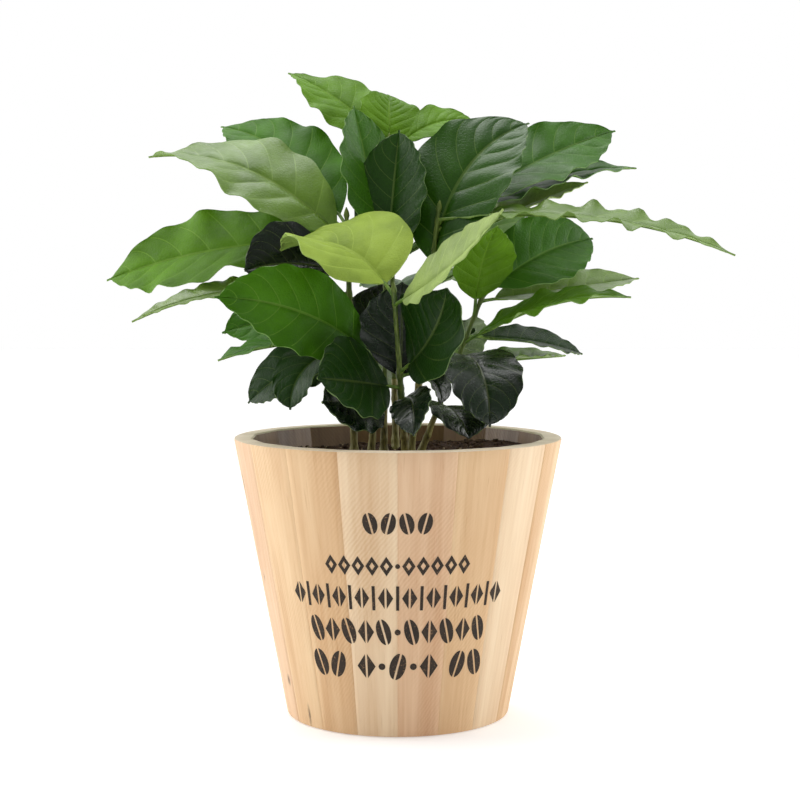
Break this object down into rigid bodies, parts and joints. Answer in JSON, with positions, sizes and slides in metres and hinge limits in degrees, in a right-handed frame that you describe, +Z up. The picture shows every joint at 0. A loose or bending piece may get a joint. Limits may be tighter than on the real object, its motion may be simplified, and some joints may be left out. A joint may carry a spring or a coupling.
{
  "type": "potted coffee plant",
  "caption": "Clump of young coffee seedlings with large glossy wavy-edged leaves, in a round tapered wooden tub filled with peat.",
  "frame": {"origin": "centre of the tub's flat underside", "axes": "+Z up along the tub's axis, -Y towards the viewer of the picture, +X to the viewer's right"},
  "size_m": [0.29, 0.2196, 0.3001],
  "materials": {
    "tub_wood": "bare pale wood, fine sawn, matt, with dark stencilled ornament",
    "peat": "dark moist peat, matt and chunky",
    "green_stem": "green to light brown young bark, satin",
    "leaf": "glossy green blades from lime through mid green to nearly black green"
  },
  "bodies": {
    "root": {"pot": "tub_wood", "soil": "peat", "stem_front": "green_stem", "stem_crest": "green_stem", "stem_left": "green_stem", "stem_low_left": "green_stem", "stem_right": "green_stem", "stem_leaning": "green_stem", "stem_back": "green_stem", "foliage_front": "leaf", "foliage_crest": "leaf", "foliage_left": "leaf", "foliage_low_left": "leaf", "foliage_right": "leaf", "foliage_leaning": "leaf", "foliage_back": "leaf"}
  },
  "joints": []
}
